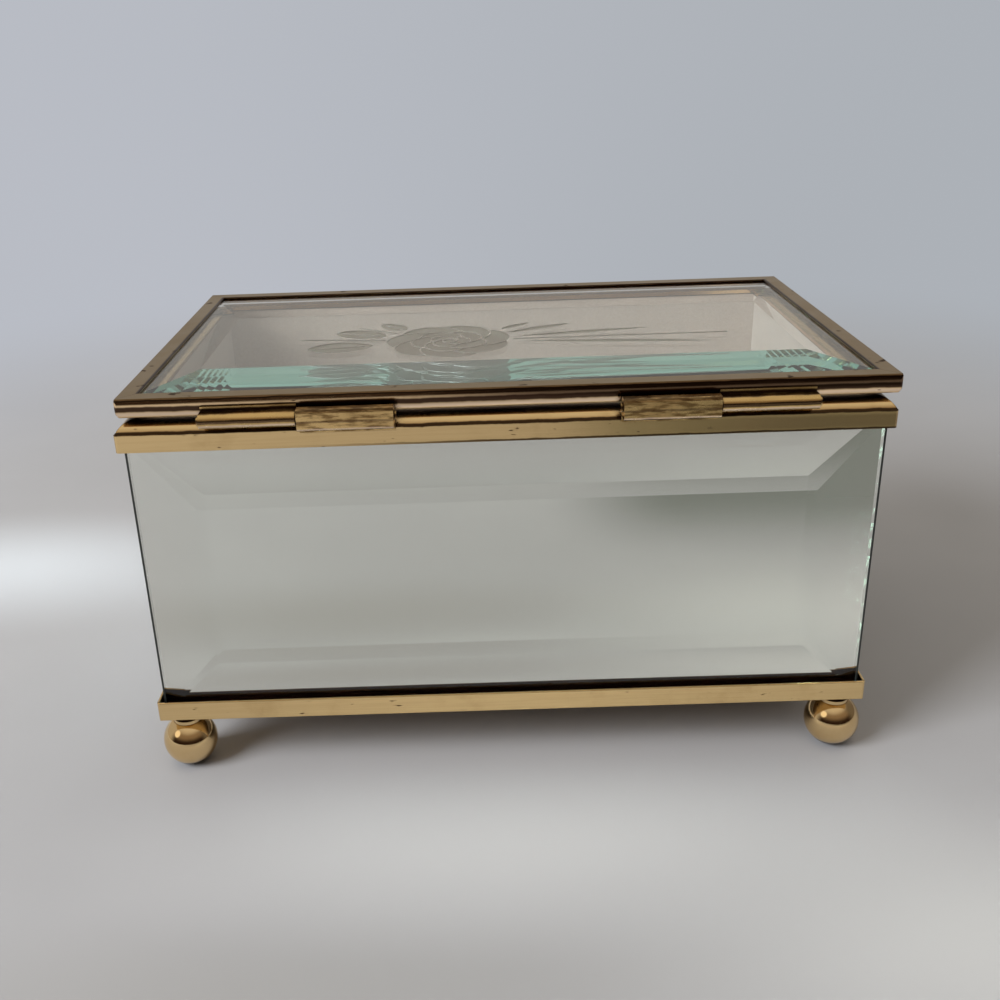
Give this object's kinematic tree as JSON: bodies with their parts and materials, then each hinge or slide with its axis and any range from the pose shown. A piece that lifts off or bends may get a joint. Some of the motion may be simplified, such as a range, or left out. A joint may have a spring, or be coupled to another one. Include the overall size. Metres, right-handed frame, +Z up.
{
  "type": "glass casket box",
  "caption": "Footed keepsake casket of bevelled mirror panes in brass rails, lined inside, with a hinged lid of clear bevelled glass engraved with a rose spray.",
  "frame": {"origin": "middle of the footprint at table level, under the whole object's bounding box", "axes": "+Z up; +X along the long side, to the right seen from the hinge side; +Y from the hinge side towards the front"},
  "size_m": [0.155, 0.1012, 0.086],
  "materials": {
    "pane_glass": "polished float glass with ground and polished bevels",
    "lid_glass": "polished clear glass with wide bevels and matt engraving",
    "silvering": "mirror silver with backing paint",
    "rail_brass": "lacquered polished brass sheet, slightly worn",
    "lid_brass": "brass channel, polished face and brushed flanges",
    "hinge_brass": "rolled brass sheet, dulled and brushed",
    "foot_brass": "turned and polished brass",
    "sealant": "dark glazing sealant",
    "lining_fabric": "matt beige flocked lining",
    "base_board": "covered bottom board",
    "pad_fabric": "matt beige velvet over a soft pad"
  },
  "bodies": {
    "box": {"hinge_left_box_leaf": "hinge_brass", "hinge_right_box_leaf": "hinge_brass", "hinge_left_pin": "hinge_brass", "hinge_right_pin": "hinge_brass", "top_rail_rear": "rail_brass", "top_rail_front": "rail_brass", "top_rail_left": "rail_brass", "top_rail_right": "rail_brass", "pane_rear": "pane_glass", "pane_front": "pane_glass", "pane_left": "pane_glass", "pane_right": "pane_glass", "silvering_rear": "silvering", "silvering_front": "silvering", "silvering_left": "silvering", "silvering_right": "silvering", "lining_rear": "lining_fabric", "lining_front": "lining_fabric", "lining_left": "lining_fabric", "lining_right": "lining_fabric", "corner_seal_rear_left": "sealant", "corner_seal_rear_right": "sealant", "corner_seal_front_left": "sealant", "corner_seal_front_right": "sealant", "bottom_rail_rear": "rail_brass", "bottom_rail_front": "rail_brass", "bottom_rail_left": "rail_brass", "bottom_rail_right": "rail_brass", "base_panel": "base_board", "base_pad": "pad_fabric", "foot_stud_rear_left": "foot_brass", "foot_stud_rear_right": "foot_brass", "foot_stud_front_left": "foot_brass", "foot_stud_front_right": "foot_brass", "foot_ball_rear_left": "foot_brass", "foot_ball_rear_right": "foot_brass", "foot_ball_front_left": "foot_brass", "foot_ball_front_right": "foot_brass"},
    "lid": {"lid_glass": "lid_glass", "lid_frame_rear": "lid_brass", "lid_frame_front": "lid_brass", "lid_frame_left": "lid_brass", "lid_frame_right": "lid_brass", "hinge_left_lid_leaf": "hinge_brass", "hinge_right_lid_leaf": "hinge_brass"}
  },
  "joints": [
    {"name": "lid_hinge", "type": "hinge", "parent": "box", "child": "lid", "pos_m": [0.0006, -0.04842, 0.08183], "axis": [1, 0, 0], "range_deg": [0, 105]}
  ]
}
